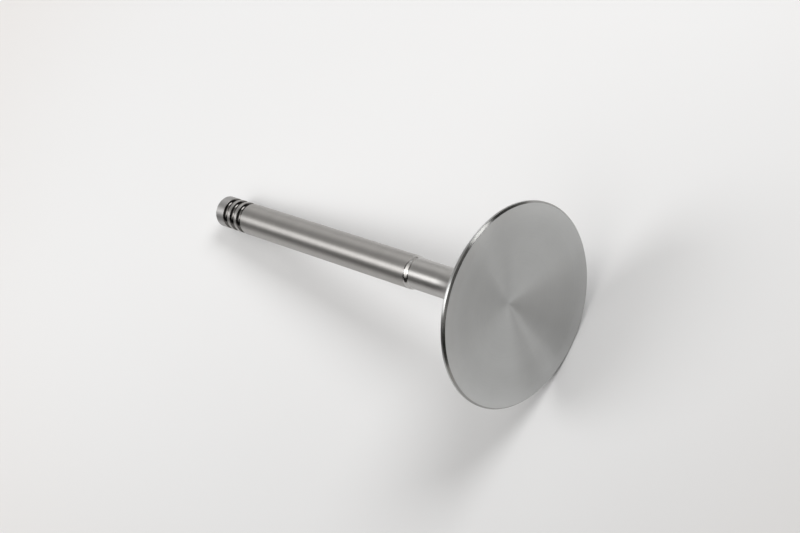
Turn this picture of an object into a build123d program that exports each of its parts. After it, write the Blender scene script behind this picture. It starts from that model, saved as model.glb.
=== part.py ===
from build123d import *
import math
import os

# Engine poppet valve with a dished head and an undercut stem, turned and ground
# from one forging. It stands on its head: the origin is the centre of the face's
# plane, and +Z runs up the stem to the tip. All sizes are in millimetres.

# Head
HEAD_RADIUS = 23.0
FACE_LAND_WIDTH = 2.5         # flat ring that the dish leaves round the face
DISH_DEPTH = 3.15             # a shallow cone, deepest on the axis
DISH_APEX_RADIUS = 8.0        # the cutter's nose leaves the apex slightly round
DISH_EDGE_RADIUS = 6.0
RIM_CHAMFER = 0.4
MARGIN_HEIGHT = 0.9           # face plane to the seat's outer edge, chamfer included
SEAT_ANGLE = 45.0
SEAT_HEIGHT = 1.9             # along the axis
SEAT_EDGE_RADIUS = 0.5
BACK_ANGLE = 20.0             # slope of the back of the head, above the face plane
TULIP_RADIUS = 18.0           # sweep from the back of the head into the stem

# Stem
LENGTH = 101.5
STEM_RADIUS = 7.97 / 2
UNDERCUT_RADIUS = 7.37 / 2
STEP_BOTTOM = 30.75           # top of the undercut
STEP_TOP = 31.45              # start of the ground stem
STEP_BLEND_RADIUS = 0.5
TIP_CHAMFER = 0.4

# Keeper grooves, three alike with round bottoms
GROOVE_COUNT = 3
GROOVE_RADIUS = 0.85
GROOVE_DEPTH = 0.75
GROOVE_PITCH = 2.65
FIRST_GROOVE_FROM_TIP = 4.1   # to the middle of the groove


def head_and_stem_profile():
    """Half section right of the axis, in the XZ plane."""
    face_land_edge = HEAD_RADIUS - RIM_CHAMFER
    dish_radius = face_land_edge - FACE_LAND_WIDTH
    dish_slope = math.atan2(DISH_DEPTH, dish_radius)

    # the apex arc is tangent to the cone and centred on the axis
    apex_end_radius = DISH_APEX_RADIUS * math.sin(dish_slope)
    apex_end_height = DISH_DEPTH - apex_end_radius * math.tan(dish_slope)
    apex_center_height = apex_end_height - DISH_APEX_RADIUS * math.cos(dish_slope)
    apex_half_slope = dish_slope / 2
    apex_start = (0, apex_center_height + DISH_APEX_RADIUS)
    apex_middle = (
        DISH_APEX_RADIUS * math.sin(apex_half_slope),
        apex_center_height + DISH_APEX_RADIUS * math.cos(apex_half_slope),
    )
    apex_end = (apex_end_radius, apex_end_height)

    dish_edge = (dish_radius, 0)
    seat_top_radius = HEAD_RADIUS - SEAT_HEIGHT / math.tan(math.radians(SEAT_ANGLE))
    seat_top = (seat_top_radius, MARGIN_HEIGHT + SEAT_HEIGHT)
    back_rise = (seat_top_radius - UNDERCUT_RADIUS) * math.tan(math.radians(BACK_ANGLE))
    tulip_corner = (UNDERCUT_RADIUS, seat_top[1] + back_rise)
    step_bottom = (UNDERCUT_RADIUS, STEP_BOTTOM)
    step_top = (STEM_RADIUS, STEP_TOP)

    with BuildSketch(Plane.XZ) as profile:
        with BuildLine():
            ThreePointArc(apex_start, apex_middle, apex_end)
            Polyline(
                apex_end,
                dish_edge,
                (face_land_edge, 0),
                (HEAD_RADIUS, RIM_CHAMFER),
                (HEAD_RADIUS, MARGIN_HEIGHT),
                seat_top,
                tulip_corner,
                step_bottom,
                step_top,
                (STEM_RADIUS, LENGTH - TIP_CHAMFER),
                (STEM_RADIUS - TIP_CHAMFER, LENGTH),
                (0, LENGTH),
                apex_start,
            )
        make_face()
        round_corner(profile, dish_edge, DISH_EDGE_RADIUS)
        round_corner(profile, seat_top, SEAT_EDGE_RADIUS)
        round_corner(profile, tulip_corner, TULIP_RADIUS)
        round_corner(profile, step_bottom, STEP_BLEND_RADIUS)
        round_corner(profile, step_top, STEP_BLEND_RADIUS)
    return profile.sketch


def round_corner(profile, corner, radius):
    """Fillet the corner of the profile that lies at a point given as radius and height."""
    nearest = profile.vertices().sort_by_distance(Vector(*corner))[0]
    fillet(nearest, radius)


def keeper_grooves():
    """Rings whose section is a circle, sunk into the stem to the groove depth."""
    first_height = LENGTH - FIRST_GROOVE_FROM_TIP
    section_radius = STEM_RADIUS + GROOVE_RADIUS - GROOVE_DEPTH
    centers = [(section_radius, first_height - i * GROOVE_PITCH) for i in range(GROOVE_COUNT)]
    with BuildSketch(Plane.XZ) as sections:
        with Locations(*centers):
            Circle(GROOVE_RADIUS)
    return sections.sketch


def build_valve():
    with BuildPart() as valve:
        add(head_and_stem_profile())
        revolve(axis=Axis.Z)
        add(keeper_grooves())
        revolve(axis=Axis.Z, mode=Mode.SUBTRACT)
    valve.part.label = "valve"
    return valve.part


os.makedirs("parts", exist_ok=True)
export_step(build_valve(), "parts/valve.step")
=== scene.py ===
from math import acos, atan, cos, pi, radians, sin, sqrt, tan

import bpy
from mathutils import Matrix, Vector


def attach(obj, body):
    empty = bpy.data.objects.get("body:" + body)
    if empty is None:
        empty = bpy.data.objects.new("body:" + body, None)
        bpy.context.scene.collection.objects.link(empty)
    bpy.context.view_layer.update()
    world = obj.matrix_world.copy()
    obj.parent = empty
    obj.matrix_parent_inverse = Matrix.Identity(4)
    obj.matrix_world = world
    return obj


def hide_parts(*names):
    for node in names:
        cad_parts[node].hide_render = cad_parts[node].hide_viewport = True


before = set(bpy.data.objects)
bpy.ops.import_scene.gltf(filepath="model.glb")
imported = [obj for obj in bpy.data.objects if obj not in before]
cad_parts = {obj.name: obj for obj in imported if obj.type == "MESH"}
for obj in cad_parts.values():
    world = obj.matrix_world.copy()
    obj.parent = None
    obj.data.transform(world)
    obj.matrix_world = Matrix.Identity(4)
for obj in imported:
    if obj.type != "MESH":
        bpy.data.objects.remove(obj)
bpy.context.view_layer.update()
mm = 0.001
print("valve: frame loaded,", len(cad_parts), "node")


class Socket:    # one output of a node, so that shader maths reads as plain expressions
    def __init__(self, tree, socket):
        self.tree = tree
        self.socket = socket

    def __add__(self, other):
        return maths("ADD", self, other)

    def __sub__(self, other):
        return maths("SUBTRACT", self, other)

    def __rsub__(self, other):
        return maths("SUBTRACT", other, self)

    def __mul__(self, other):
        return maths("MULTIPLY", self, other)

    def __truediv__(self, other):
        return maths("DIVIDE", self, other)

    def __rtruediv__(self, other):
        return maths("DIVIDE", other, self)

    __radd__ = __add__
    __rmul__ = __mul__


def addNode(tree, kind, settings=None, sockets=None, output=None):
    # settings come first, because they decide which sockets there are
    node = tree.nodes.new(kind)
    for name, value in (settings or {}).items():
        setattr(node, name, value)
    for name, value in (sockets or {}).items():
        if isinstance(value, Socket):
            tree.links.new(value.socket, node.inputs[name])
        else:
            node.inputs[name].default_value = value
    if output is None:
        return [Socket(tree, socket) for socket in node.outputs]
    return Socket(tree, node.outputs[output])


def maths(operation, *values):
    tree = next(value.tree for value in values if isinstance(value, Socket))
    return addNode(tree, "ShaderNodeMath", {"operation": operation}, dict(enumerate(values)), "Value")


def band(value, low, high):    # 0 below low, 1 above high, smooth between
    return addNode(value.tree, "ShaderNodeMapRange", {"interpolation_type": "SMOOTHSTEP"},
                   {"Value": value, "From Min": low, "From Max": high}, "Result")


def along(place, way):    # how far a place lies along a direction
    return addNode(place.tree, "ShaderNodeVectorMath", {"operation": "DOT_PRODUCT"},
                   {0: place, 1: way}, "Value")


def mixColour(factor, first, second):    # sockets 6 and 7 take the colours, and 2 gives their mix
    return addNode(factor.tree, "ShaderNodeMix", {"data_type": "RGBA"},
                   {"Factor": factor, 6: first, 7: second}, 2)


def scaleColour(colour, tone):
    return addNode(colour.tree, "ShaderNodeVectorMath", {"operation": "SCALE"},
                   {0: colour, "Scale": tone}, "Vector")


def unevenness(tree, dimensions, sockets):    # noise about zero
    middle = 0.5
    return addNode(tree, "ShaderNodeTexNoise", {"noise_dimensions": dimensions}, sockets, "Fac") - middle


# the valve's sizes in mm, as in its solid, with heights above the plane of its face
valve = {
    "headRadius": 23.0,
    "landWidth": 2.5,
    "dishDepth": 3.15,
    "apexRound": 8.0,
    "dishEdgeRound": 6.0,
    "rimChamfer": 0.4,
    "marginHeight": 0.9,      # chamfer included
    "seatHeight": 1.9,        # at 45 degrees, so this is its width too
    "seatRound": 0.5,
    "backAngle": 20.0,        # degrees
    "tulipRound": 18.0,
    "neckRadius": 3.685,
    "stemRadius": 3.985,
    "stepBottom": 30.75,
    "stepTop": 31.45,
    "stepRound": 0.5,
    "length": 101.5,
    "tipChamfer": 0.4,
    "grooveCount": 3,
    "grooveRadius": 0.85,
    "grooveDepth": 0.75,
    "groovePitch": 2.65,
    "firstGroove": 4.1,       # below the tip
    # what only the skin has
    "grooveFlare": 0.021,     # how much wider a groove's mouth is than its circle, on each side
    "edgeBreak": 0.07,        # every edge that a tool leaves is broken this much
    "turns": 288,             # faces round the skin
    "seam": 0.002,            # points closer than this become one
    "apexSteps": 8,
    "grooveSteps": 16,
    "arcAngle": 7.0,          # about the most degrees between two points of a rounded corner
    "arcChord": 0.6,          # and about the farthest that they are apart
    "arcSteps": 3,            # the fewest steps in a rounded corner
    "guard": 0.05,            # a point this far beyond each arc keeps the flat beside it flat
    "guardShare": 0.3,        # of the arc's reach, where that is less
}


def roundOff(corners, size):
    # a corner is (radius, height, rounding), and a rounded one becomes an arc
    points = [Vector(corners[0][:2])]
    for before, corner, after in zip(corners, corners[1:], corners[2:]):
        here, rounding = Vector(corner[:2]), corner[2]
        if rounding == 0:
            points.append(here)
            continue
        back = (Vector(before[:2]) - here).normalized()
        ahead = (Vector(after[:2]) - here).normalized()
        half = back.angle(ahead) / 2
        reach = rounding / tan(half)
        centre = here + (back + ahead).normalized() * (rounding / sin(half))
        first = here + back * reach - centre
        last = here + ahead * reach - centre
        sweep = pi - 2 * half
        steps = max(size["arcSteps"], round(sweep / radians(size["arcAngle"])),
                    round(sweep * rounding / size["arcChord"]))
        guard = min(size["guard"], reach * size["guardShare"])
        points.append(here + back * (reach + guard))
        for i in range(steps + 1):
            turned = first * sin((1 - i / steps) * sweep) + last * sin(i / steps * sweep)
            points.append(centre + turned / sin(sweep))
        points.append(here + ahead * (reach + guard))
    points.append(Vector(corners[-1][:2]))
    return points


def dishApex(size, dishEdge):    # the rounded middle of the dish, from the axis to its cone
    lean = atan(size["dishDepth"] / dishEdge)
    top = size["dishDepth"] - size["apexRound"] * (1 / cos(lean) - 1)
    for i in range(size["apexSteps"] + 1):
        turn = lean * i / size["apexSteps"]
        yield size["apexRound"] * sin(turn), top - size["apexRound"] * (1 - cos(turn)), 0.0


def keeperGroove(size, height):    # a round bottom between two broken edges, from the head's side
    centre = size["stemRadius"] - size["grooveDepth"] + size["grooveRadius"]
    opening = acos((centre - size["stemRadius"]) / size["grooveRadius"])
    halfWidth = size["grooveRadius"] * sin(opening) + size["grooveFlare"]
    yield size["stemRadius"], height - halfWidth, size["edgeBreak"]
    for i in range(1, size["grooveSteps"]):
        turn = opening * (2 * i / size["grooveSteps"] - 1)
        yield centre - size["grooveRadius"] * cos(turn), height + size["grooveRadius"] * sin(turn), 0.0
    yield size["stemRadius"], height + halfWidth, size["edgeBreak"]


def valveOutline(size):    # from the middle of the face, round the rim and up the stem to the tip's middle
    land = size["headRadius"] - size["rimChamfer"]
    dishEdge = land - size["landWidth"]
    backRadius = size["headRadius"] - size["seatHeight"]
    seatTop = size["marginHeight"] + size["seatHeight"]
    tulipHeight = seatTop + (backRadius - size["neckRadius"]) * tan(radians(size["backAngle"]))
    broken, tip = size["edgeBreak"], size["length"]

    corners = list(dishApex(size, dishEdge))
    corners += [
        (dishEdge, 0.0, size["dishEdgeRound"]),
        (land, 0.0, broken),
        (size["headRadius"], size["rimChamfer"], broken),
        (size["headRadius"], size["marginHeight"], broken),
        (backRadius, seatTop, size["seatRound"]),
        (size["neckRadius"], tulipHeight, size["tulipRound"]),
        (size["neckRadius"], size["stepBottom"], size["stepRound"]),
        (size["stemRadius"], size["stepTop"], size["stepRound"]),
    ]
    for i in reversed(range(size["grooveCount"])):
        corners += keeperGroove(size, tip - size["firstGroove"] - i * size["groovePitch"])
    corners += [
        (size["stemRadius"], tip - size["tipChamfer"], broken),
        (size["stemRadius"] - size["tipChamfer"], tip, broken),
        (0.0, tip, 0.0),
    ]
    return roundOff(corners, size)


def latheTree():    # sweeps an outline in the XZ plane once round Z, into a closed skin
    tree = bpy.data.node_groups.new("turnedSkin", "GeometryNodeTree")
    for name, kind in (("Outline", "Geometry"), ("Turns", "Int"), ("Seam", "Float"), ("Finish", "Material")):
        tree.interface.new_socket(name, in_out="INPUT", socket_type="NodeSocket" + kind)
    tree.interface.new_socket("Skin", in_out="OUTPUT", socket_type="NodeSocketGeometry")
    outline, turns, seam, finish = addNode(tree, "NodeGroupInput")[:4]

    # a grid in which each column has the outline's points, one column for each turn
    points = addNode(tree, "GeometryNodeAttributeDomainSize", {"component": "MESH"},
                     {"Geometry": outline}, "Point Count")
    grid = addNode(tree, "GeometryNodeMeshGrid", None,
                   {"Vertices X": turns + 1, "Vertices Y": points}, "Mesh")
    index = addNode(tree, "GeometryNodeInputIndex", output="Index")
    place = addNode(tree, "GeometryNodeInputPosition", output="Position")
    onOutline = addNode(tree, "GeometryNodeSampleIndex", {"data_type": "FLOAT_VECTOR", "domain": "POINT"}, {
        "Geometry": outline, "Value": place, "Index": maths("FLOORED_MODULO", index, points)}, "Value")
    radius, _, height = addNode(tree, "ShaderNodeSeparateXYZ", None, {"Vector": onOutline})
    # the half keeps a column's first point from rounding down into the column before
    turn = maths("FLOOR", (index + 0.5) / points) * (2 * pi) / turns
    turned = addNode(tree, "ShaderNodeCombineXYZ", None, {
        "X": radius * maths("COSINE", turn), "Y": radius * maths("SINE", turn), "Z": height}, "Vector")
    skin = addNode(tree, "GeometryNodeSetPosition", None, {"Geometry": grid, "Position": turned}, "Geometry")
    # closes the seam and both ends on the axis
    skin = addNode(tree, "GeometryNodeMergeByDistance", None,
                   {"Geometry": skin, "Distance": seam}, "Geometry")
    skin = addNode(tree, "GeometryNodeFlipFaces", None, {"Mesh": skin}, "Mesh")
    skin = addNode(tree, "GeometryNodeSetShadeSmooth", None,
                   {"Geometry": skin, "Shade Smooth": True}, "Geometry")
    skin = addNode(tree, "GeometryNodeRealizeInstances", None, {"Geometry": skin}, "Geometry")
    skin = addNode(tree, "GeometryNodeSetMaterial", None, {"Geometry": skin, "Material": finish}, "Geometry")
    addNode(tree, "NodeGroupOutput", None, {"Skin": skin})
    return tree


def setInputs(modifier, values):
    for item in modifier.node_group.interface.items_tree:
        if item.in_out == "INPUT" and item.name in values:
            modifier[item.identifier] = values[item.name]


def turnValve(name, size, finish):
    points = [(point.x * mm, 0.0, point.y * mm) for point in valveOutline(size)]
    edges = [(i, i + 1) for i in range(len(points) - 1)]
    mesh = bpy.data.meshes.new(name + "Outline")
    mesh.from_pydata(points, edges, [])
    blank = bpy.data.objects.new(name + "Outline", mesh)
    bpy.context.scene.collection.objects.link(blank)
    modifier = blank.modifiers.new("turnedSkin", "NODES")
    modifier.node_group = latheTree()
    setInputs(modifier, {"Turns": size["turns"], "Seam": size["seam"] * mm, "Finish": finish})
    depsgraph = bpy.context.evaluated_depsgraph_get()
    skin = bpy.data.meshes.new_from_object(blank.evaluated_get(depsgraph))
    bpy.data.objects.remove(blank)
    skin.name = name
    piece = bpy.data.objects.new(name, skin)
    bpy.context.scene.collection.objects.link(piece)
    return piece


# the steel: each part's own finish, and the two places in mm between which one finish comes up
# or fades, as heights above the face or, where it says so, as distances from the axis
steel = {
    "stem": {"colour": (0.46, 0.447, 0.433), "roughness": 0.42},
    "neck": {"colour": (0.51, 0.50, 0.488), "roughness": 0.37},
    "step": {"colour": (0.50, 0.49, 0.478), "roughness": 0.20},     # blended, between neck and stem
    "face": {"colour": (0.515, 0.52, 0.515), "roughness": 0.33},    # and the back of the head
    "rim": {"colour": (0.555, 0.56, 0.555), "roughness": 0.33},     # the land round the dish, and the seat
    "tip": {"colour": (0.46, 0.455, 0.45), "roughness": 0.52},
    "edge": {"colour": (0.34, 0.34, 0.33), "roughness": 0.26},      # the chamfer round the face, its colour darkened as a painted reflection of the dark room it mirrors
    # the keeper grooves, much darker than the stem
    "groove": {"colour": (0.12, 0.115, 0.11), "roughness": 0.14},
    "headAnisotropy": 0.925,
    "stemAnisotropy": 0.69,
    "marksTurn": 0.25,               # of a whole turn, so that the marks run round the valve
    "headTo": (8.0, 12.0),
    "neckTo": (valve["stepBottom"] + 0.3, valve["stepTop"] - 0.3),
    "stepFrom": (valve["stepBottom"] - 0.5, valve["stepBottom"] - 0.2),
    "stepTo": (valve["stepTop"] + 0.2, valve["stepTop"] + 0.5),
    "rimFrom": (valve["headRadius"] - 6.0, valve["headRadius"] - 0.5),       # from the axis
    "edgeFrom": (valve["headRadius"] - 0.42, valve["headRadius"] - 0.38),    # from the axis
    "edgeTo": (valve["rimChamfer"] + 0.04, valve["rimChamfer"] + 0.1),
    "groovesFrom": (valve["length"] - 13.5, valve["length"] - 13.0),
    "groovesTo": (valve["length"] - 2.0, valve["length"] - 1.5),
    "grooveTo": (valve["stemRadius"] - 0.12, valve["stemRadius"] - 0.04),    # from the axis
    "tipFrom": (valve["length"] - 3.15, valve["length"] - 3.0),
    "ringPitch": 0.35,               # mm, of the tool marks
    "ringDetail": 3.0,
    "swellScale": 0.35,              # per mm, of the broader unevenness that follows the marks
    "swellDetail": 2.0,
    "cloudScale": 180.0,             # per metre, of the blotches
    "cloudDetail": 4.0,
    "grain": 0.6,                    # how strongly the finest noise shows
    "ringTone": 0.06,
    "swellTone": 0.06,
    "cloudTone": 0.10,
    "ringRoughness": 0.03,
    "cloudRoughness": 0.04,
    "bumpStrength": 0.25,
    "bumpDepth": 0.0012,             # mm
}


def turnedSteel():
    material = bpy.data.materials.new("turnedSteel")
    material.use_nodes = True
    tree = material.node_tree
    tree.nodes.clear()
    place = addNode(tree, "ShaderNodeTexCoord", output="Object")
    x, y, z = addNode(tree, "ShaderNodeSeparateXYZ", None, {"Vector": place})
    radius = maths("SQRT", x * x + y * y) / mm
    height = z / mm

    # where each finish lies, from the widest part to those that lie over it
    onHead = 1 - band(height, *steel["headTo"])
    where = {
        "neck": 1 - band(height, *steel["neckTo"]),
        "step": band(height, *steel["stepFrom"]) * (1 - band(height, *steel["stepTo"])),
        "face": onHead,
        "rim": band(radius, *steel["rimFrom"]) * onHead,
        "tip": band(height, *steel["tipFrom"]),
        "edge": band(radius, *steel["edgeFrom"]) * (1 - band(height, *steel["edgeTo"])),
        "groove": (band(height, *steel["groovesFrom"]) * (1 - band(height, *steel["groovesTo"]))
                   * (1 - band(radius, *steel["grooveTo"]))),
    }
    colour = (*steel["stem"]["colour"], 1)
    roughness = steel["stem"]["roughness"]
    for part, mask in where.items():
        colour = mixColour(mask, colour, (*steel[part]["colour"], 1))
        roughness = roughness * (1 - mask) + mask * steel[part]["roughness"]

    # the tool marks are rings, so their noise runs out from the axis on the head and up the stem
    across = radius * onHead + height * (1 - onHead)
    rings = unevenness(tree, "1D", {"W": across, "Scale": 1 / steel["ringPitch"],
                                    "Detail": steel["ringDetail"], "Roughness": steel["grain"]})
    swell = unevenness(tree, "1D", {"W": across, "Scale": steel["swellScale"],
                                    "Detail": steel["swellDetail"]})
    cloud = unevenness(tree, "3D", {"Vector": place, "Scale": steel["cloudScale"],
                                    "Detail": steel["cloudDetail"], "Roughness": steel["grain"]})
    tone = 1 + rings * steel["ringTone"] + swell * steel["swellTone"] + cloud * steel["cloudTone"]
    bump = addNode(tree, "ShaderNodeBump", None, {
        "Strength": steel["bumpStrength"], "Distance": steel["bumpDepth"] * mm, "Height": rings}, "Normal")
    shared = {
        "Base Color": scaleColour(colour, tone),
        "Metallic": 1.0,
        "Roughness": roughness + rings * steel["ringRoughness"] + cloud * steel["cloudRoughness"],
        "Normal": bump,
        "Anisotropic Rotation": steel["marksTurn"],
    }

    # the facing marks on the head are finer and more regular than the stem's
    stem, head = [addNode(tree, "ShaderNodeBsdfPrincipled", None, {
        **shared, "Anisotropic": steel[part + "Anisotropy"]}, "BSDF") for part in ("stem", "head")]
    both = addNode(tree, "ShaderNodeMixShader", None, {0: onHead, 1: stem, 2: head}, "Shader")
    addNode(tree, "ShaderNodeOutputMaterial", None, {"Surface": both})
    return material


finishedValve = turnValve("finishedValve", valve, turnedSteel())
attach(finishedValve, "root")
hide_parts("valve")
print("valve: skin turned,", len(finishedValve.data.polygons), "faces")


# how the valve lies before the camera, in degrees, and in px of the image
view = {
    "image": (800, 533),
    "focal": 1500.0,
    "faceAt": (519.3, 306.5),     # the middle of the face
    "faceDistance": 320.5,        # mm from the camera, along its axis
    "tilt": 46.79,                # of the stem from the camera's axis
    "heading": 198.08,            # of the stem on the image, clockwise from its right
    "contactTurn": 167.0,         # round the stem, from its side nearest the camera to the floor
    "sensor": 36.0,               # mm
    "clip": (0.01, 20.0),         # metres
}


def rayThrough(pixel):    # in the camera's axes, which here are right, down and ahead
    return Vector(((pixel[0] - view["image"][0] / 2) / view["focal"],
                   (pixel[1] - view["image"][1] / 2) / view["focal"], 1.0))


tilt, heading, contactTurn = [radians(view[name]) for name in ("tilt", "heading", "contactTurn")]
stemWay = Vector((cos(heading) * sin(tilt), sin(heading) * sin(tilt), cos(tilt)))
nearSide = (Vector((0, 0, -1)) + stemWay * stemWay.z).normalized()
lowSide = nearSide.cross(stemWay)
if lowSide.y < 0:
    lowSide = -lowSide
contact = nearSide * cos(contactTurn) + lowSide * sin(contactTurn)
beside = stemWay.cross(contact)
# the floor lies toward -X and +Y of the valve, which is free to turn round its own axis
rowX = (-contact - beside) / sqrt(2)
rowY = (contact - beside) / sqrt(2)


def toRow(direction):    # from the camera's axes to the valve's own
    return Vector((direction.dot(rowX), direction.dot(rowY), direction.dot(stemWay)))


cameraPlace = -toRow(rayThrough(view["faceAt"]) * view["faceDistance"] * mm)
cameraAxes = [toRow(Vector(way)) for way in ((1, 0, 0), (0, -1, 0), (0, 0, -1))]
camera = bpy.data.objects.new("camera", bpy.data.cameras.new("camera"))
camera.data.sensor_width = view["sensor"]
camera.data.lens = view["focal"] * view["sensor"] / view["image"][0]
camera.data.clip_start, camera.data.clip_end = view["clip"]
camera.matrix_world = Matrix.Translation(cameraPlace) @ Matrix(cameraAxes).transposed().to_4x4()
bpy.context.scene.collection.objects.link(camera)
bpy.context.scene.camera = camera
print("valve: camera placed")


# the sheet of paper that the rim and the tip rest on, in metres, with bearings in degrees
# counted from the image's right toward its top
floor = {
    "size": 4.0,
    "gap": 0.00002,                  # keeps the sheet clear of the steel
    "colour": (0.84, 0.84, 0.842),
    # away from a middle point the paper is painted darker, as painted shade, and turns warmer
    "outerColour": (0.84, 0.816, 0.80),
    "outerMiddle": (400, 170),       # px
    "outerFrom": (0.085, 0.204),     # from that middle
    "outerPaintedShade": 0.04,
    "paintedFalloff": 0.17,                    # painted shade: how much darker the paper gets toward this bearing
    "paintedFalloffBearing": 285.0,
    "paintedFalloffReach": (-0.09, 0.09),      # along that bearing
    "paintedShadeStarts": ((74.0, 0.095), (188.0, 0.165)),    # painted shade: bearings and distances past which the paper is painted dark, so that the steel mirrors a dark room there
    "paintedShadeBlend": 0.09,
    "paintedShadeColour": (0.15, 0.148, 0.143),
    "fibreScale": 9.0,
    "fibreDetail": 3.0,
    "fibreTone": 0.01,
    "roughness": 0.85,
    "specular": 0.2,
}

contactRow = toRow(contact)
rimPoint = contactRow * valve["headRadius"] * mm
tipPoint = contactRow * valve["stemRadius"] * mm + Vector((0, 0, valve["length"] * mm))
floorAlong = (tipPoint - rimPoint).normalized()
floorAcross = contactRow.cross(floorAlong).normalized()
floorUp = floorAlong.cross(floorAcross)
if floorUp.dot(contactRow) > 0:
    floorUp = -floorUp
floorPlace = rimPoint - floorUp * floor["gap"]
imageRight = toRow(Vector((1, 0, 0)))
floorRight = (imageRight - floorUp * imageRight.dot(floorUp)).normalized()
floorAway = floorUp.cross(floorRight)


def wayTo(bearing, height=0.0):    # a direction, by its bearing and its height over the floor
    level = floorRight * cos(radians(bearing)) + floorAway * sin(radians(bearing))
    return level * cos(radians(height)) + floorUp * sin(radians(height))


def floorBehind(pixel):
    ray = toRow(rayThrough(pixel))
    return cameraPlace + ray * ((floorPlace - cameraPlace).dot(floorUp) / ray.dot(floorUp))


def palePaper():
    material = bpy.data.materials.new("palePaper")
    material.use_nodes = True
    tree = material.node_tree
    tree.nodes.clear()
    place = addNode(tree, "ShaderNodeTexCoord", output="Object")
    fibre = unevenness(tree, "3D", {"Vector": place, "Scale": floor["fibreScale"],
                                    "Detail": floor["fibreDetail"]})
    fromMiddle = addNode(tree, "ShaderNodeVectorMath", {"operation": "DISTANCE"}, {
        0: place, 1: floorBehind(floor["outerMiddle"])}, "Value")
    outer = band(fromMiddle, *floor["outerFrom"])
    paintedFalloff = band(along(place, wayTo(floor["paintedFalloffBearing"])), *floor["paintedFalloffReach"])
    # painted shade: the paper darkens toward one bearing and away from its middle
    tone = 1 - paintedFalloff * floor["paintedFalloff"] - outer * floor["outerPaintedShade"] - fibre * floor["fibreTone"]
    colour = scaleColour(mixColour(outer, (*floor["colour"], 1), (*floor["outerColour"], 1)), tone)
    # painted shade: past each of these the paper fades to a dark colour
    for bearing, reach in floor["paintedShadeStarts"]:
        paintedShade = band(along(place, wayTo(bearing)), reach, reach + floor["paintedShadeBlend"])
        colour = mixColour(paintedShade, colour, (*floor["paintedShadeColour"], 1))
    paper = addNode(tree, "ShaderNodeBsdfPrincipled", None, {
        "Base Color": colour, "Roughness": floor["roughness"],
        "Specular IOR Level": floor["specular"]}, "BSDF")
    # the sheet shows from its front only, so that the valve can be seen from behind it
    clear = addNode(tree, "ShaderNodeBsdfTransparent", output="BSDF")
    behind = addNode(tree, "ShaderNodeNewGeometry", output="Backfacing")
    sheet = addNode(tree, "ShaderNodeMixShader", None, {0: behind, 1: paper, 2: clear}, "Shader")
    addNode(tree, "ShaderNodeOutputMaterial", None, {"Surface": sheet})
    return material


def layFloor():
    half = floor["size"] / 2
    besideWay = floorUp.cross(floorAlong)    # so that the sheet faces up, toward the valve
    corners = [floorPlace + floorAlong * a * half + besideWay * b * half
               for a, b in ((-1, -1), (1, -1), (1, 1), (-1, 1))]
    mesh = bpy.data.meshes.new("floor")
    mesh.from_pydata(corners, [], [(0, 1, 2, 3)])
    mesh.materials.append(palePaper())
    sheet = bpy.data.objects.new("floor", mesh)
    bpy.context.scene.collection.objects.link(sheet)


layFloor()
print("valve: floor laid")


# each round lamp: the share of full white that it gives the floor, its bearing and its height over
# the floor in degrees, and its distance and width in metres
lamps = {
    "keyBox": {"share": 0.36, "bearing": 43.5, "height": 47.0, "distance": 0.85, "width": 0.44},
    "leftBox": {"share": 0.22, "bearing": 187.0, "height": 47.5, "distance": 0.77, "width": 0.38},
}


def hangLamp(name, facts):
    way = wayTo(facts["bearing"], facts["height"])
    light = bpy.data.lights.new(name, "AREA")
    light.shape, light.size = "DISK", facts["width"]
    light.energy = facts["share"] * pi ** 2 * facts["distance"] ** 2 / sin(radians(facts["height"]))
    lamp = bpy.data.objects.new(name, light)
    lamp.location = rimPoint + way * facts["distance"]
    lamp.rotation_mode = "QUATERNION"
    lamp.rotation_quaternion = way.to_track_quat("Z", "Y")
    lamp.visible_camera = False
    bpy.context.scene.collection.objects.link(lamp)


for name, facts in lamps.items():
    hangLamp(name, facts)


# the room's own light: how bright each part is, where its middle lies in degrees, and the cosines
# of the angles from there between which it comes up
room = {
    "tint": (1.0, 0.985, 0.965),
    "shade": 0.02,                   # the dark side of the room
    "wall": {"tone": 0.75, "bearing": 100.0, "height": 0.0, "spread": (0.5, 1.0)},
    "ceiling": {"tone": 1.36, "bearing": 230.0, "height": 80.0, "spread": (0.62, 1.1)},
    "window": {"tone": 1.0, "bearing": 250.0, "height": 62.0, "spread": (0.75, 1.0)},
    "wallTop": (0.3, 0.9),           # the sines of the heights between which the wall ends
    "cameraShade": 0.85,             # how much light whoever stands behind the camera keeps away
    "cameraShadeEdge": (32.0, 12.0),     # degrees from the camera's place, outside and inside
}


def glow(way, part):
    toward = along(way, wayTo(part["bearing"], part["height"]))
    return band(toward, *part["spread"]) * part["tone"]


def lightRoom():
    world = bpy.data.worlds.new("room")
    world.use_nodes = True
    bpy.context.scene.world = world
    tree = world.node_tree
    tree.nodes.clear()
    way = addNode(tree, "ShaderNodeTexCoord", output="Generated")
    wall = glow(way, room["wall"]) * (1 - band(along(way, floorUp), *room["wallTop"]))
    outside, inside = [cos(radians(angle)) for angle in room["cameraShadeEdge"]]
    shaded = band(along(way, cameraPlace.normalized()), outside, inside) * room["cameraShade"]
    tone = (room["shade"] + wall + glow(way, room["ceiling"]) + glow(way, room["window"])) * (1 - shaded)
    light = addNode(tree, "ShaderNodeBackground", None, {
        "Color": (*room["tint"], 1.0), "Strength": tone}, "Background")
    addNode(tree, "ShaderNodeOutputWorld", None, {"Surface": light})


lightRoom()
bpy.context.scene.view_settings.view_transform = "Standard"
print("valve: lit")
